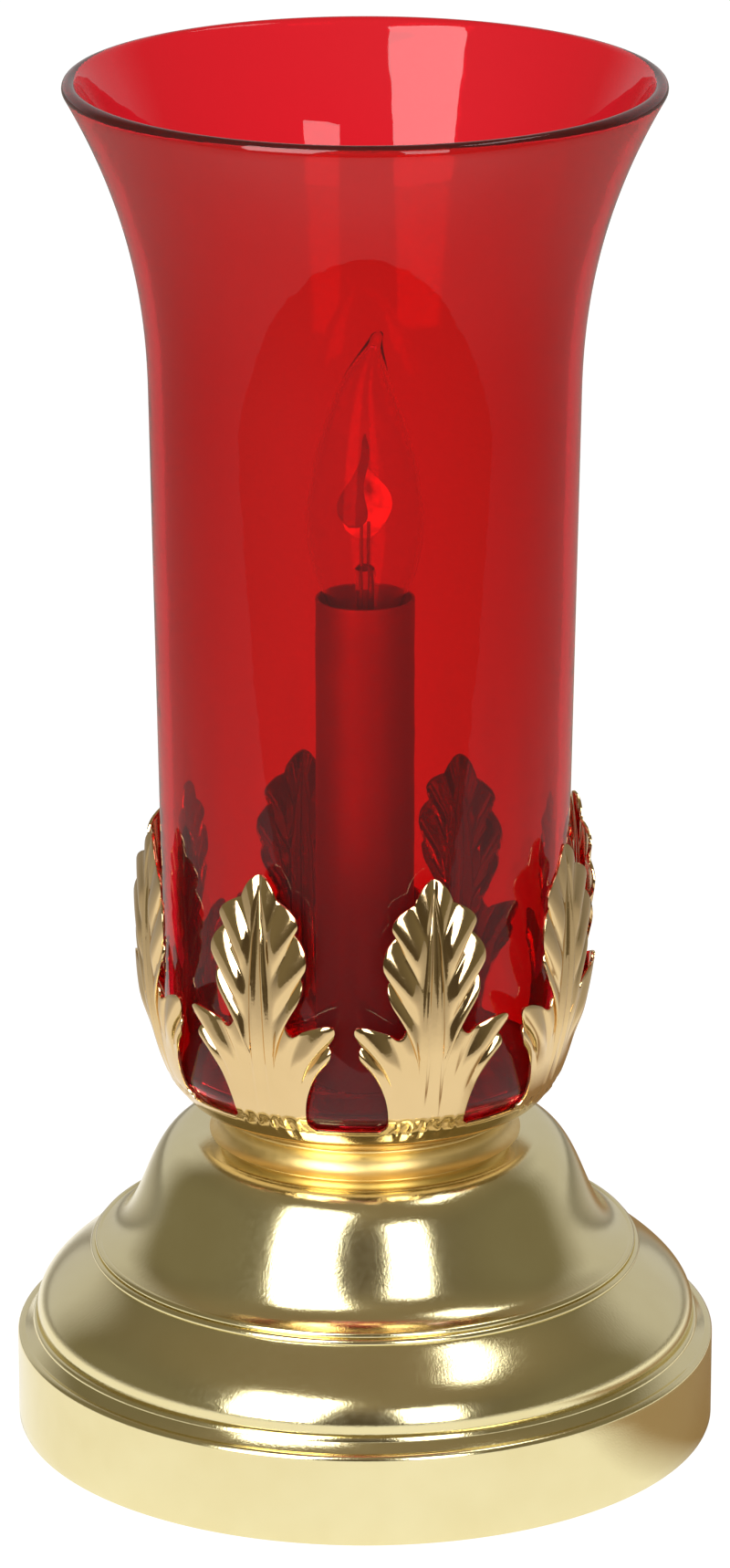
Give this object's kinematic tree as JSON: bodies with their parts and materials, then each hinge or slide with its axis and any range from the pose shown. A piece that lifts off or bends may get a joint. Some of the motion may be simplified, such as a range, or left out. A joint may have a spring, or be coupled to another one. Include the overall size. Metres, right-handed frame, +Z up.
{
  "type": "electric sanctuary lamp",
  "caption": "Table sanctuary lamp: spun brass base, leaf gallery, lift-off flared ruby glass globe and a candle tube with a small flame bulb.",
  "frame": {"origin": "centre of the felt underside, on the surface the lamp stands on", "axes": "+Z up along the axis of the base, pipe and globe; -Y is the front; +Y is the back with the cord inlet; +X is to the right seen from the front"},
  "size_m": [0.16, 0.16, 0.3142],
  "materials": {
    "spun_brass": "satin lacquered",
    "turned_brass": "fine turned, lacquered",
    "leaf_brass": "polished, lacquered",
    "candle_brass": "satin",
    "contact_brass": "bare, rolled",
    "ruby_glass": "clear blown, fire polished",
    "bulb_glass": "clear",
    "nickel": "nickel plated",
    "steel": "zinc plated",
    "dark_plate": "grey oxide coat",
    "glow_plate": "grey oxide coat, glowing orange",
    "black_glass": "glossy fused glass",
    "phenolic": "moulded",
    "liner_paper": "pressed insulating paper",
    "iron": "as cast",
    "hardboard": "pressed fibre board",
    "felt": "wool felt",
    "bush_plastic": "moulded",
    "wire_black": "extruded insulation",
    "wire_white": "extruded insulation",
    "connector_plastic": "moulded"
  },
  "bodies": {
    "lamp_base": {"felt_pad": "felt", "bottom_board": "hardboard", "base_shell": "spun_brass", "cord_bushing": "bush_plastic", "base_weight": "iron", "weight_nuts": "steel", "center_pipe": "steel", "shell_nut": "steel", "neck_ring": "turned_brass", "crown": "leaf_brass", "crown_nut": "steel", "candle_seat": "candle_brass", "socket_bracket": "steel", "bracket_screw": "steel", "socket_body": "phenolic", "socket_liner": "liner_paper", "socket_shell": "contact_brass", "socket_contact": "contact_brass", "terminal_screws": "steel", "line_lead": "wire_black", "neutral_lead": "wire_white", "wire_connectors": "connector_plastic"},
    "candle": {"candle_sleeve": "candle_brass"},
    "globe": {"globe": "ruby_glass"},
    "bulb": {"bulb_glass": "bulb_glass", "bulb_stem": "bulb_glass", "bulb_wires": "nickel", "flame_plate_front": "dark_plate", "flame_plate_rear": "glow_plate", "bulb_shell": "nickel", "bulb_insulator": "black_glass", "bulb_contact": "nickel"}
  },
  "joints": [
    {"name": "globe_lift", "type": "slide", "parent": "lamp_base", "child": "globe", "axis": [0, 0, 1], "range_m": [0, 0.19]},
    {"name": "bulb_out", "type": "slide", "parent": "lamp_base", "child": "bulb", "axis": [0, 0, 1], "range_m": [0, 0.06]},
    {"name": "candle_play", "type": "slide", "parent": "lamp_base", "child": "candle", "axis": [0, 0, 1], "range_m": [0, 0.002]}
  ]
}
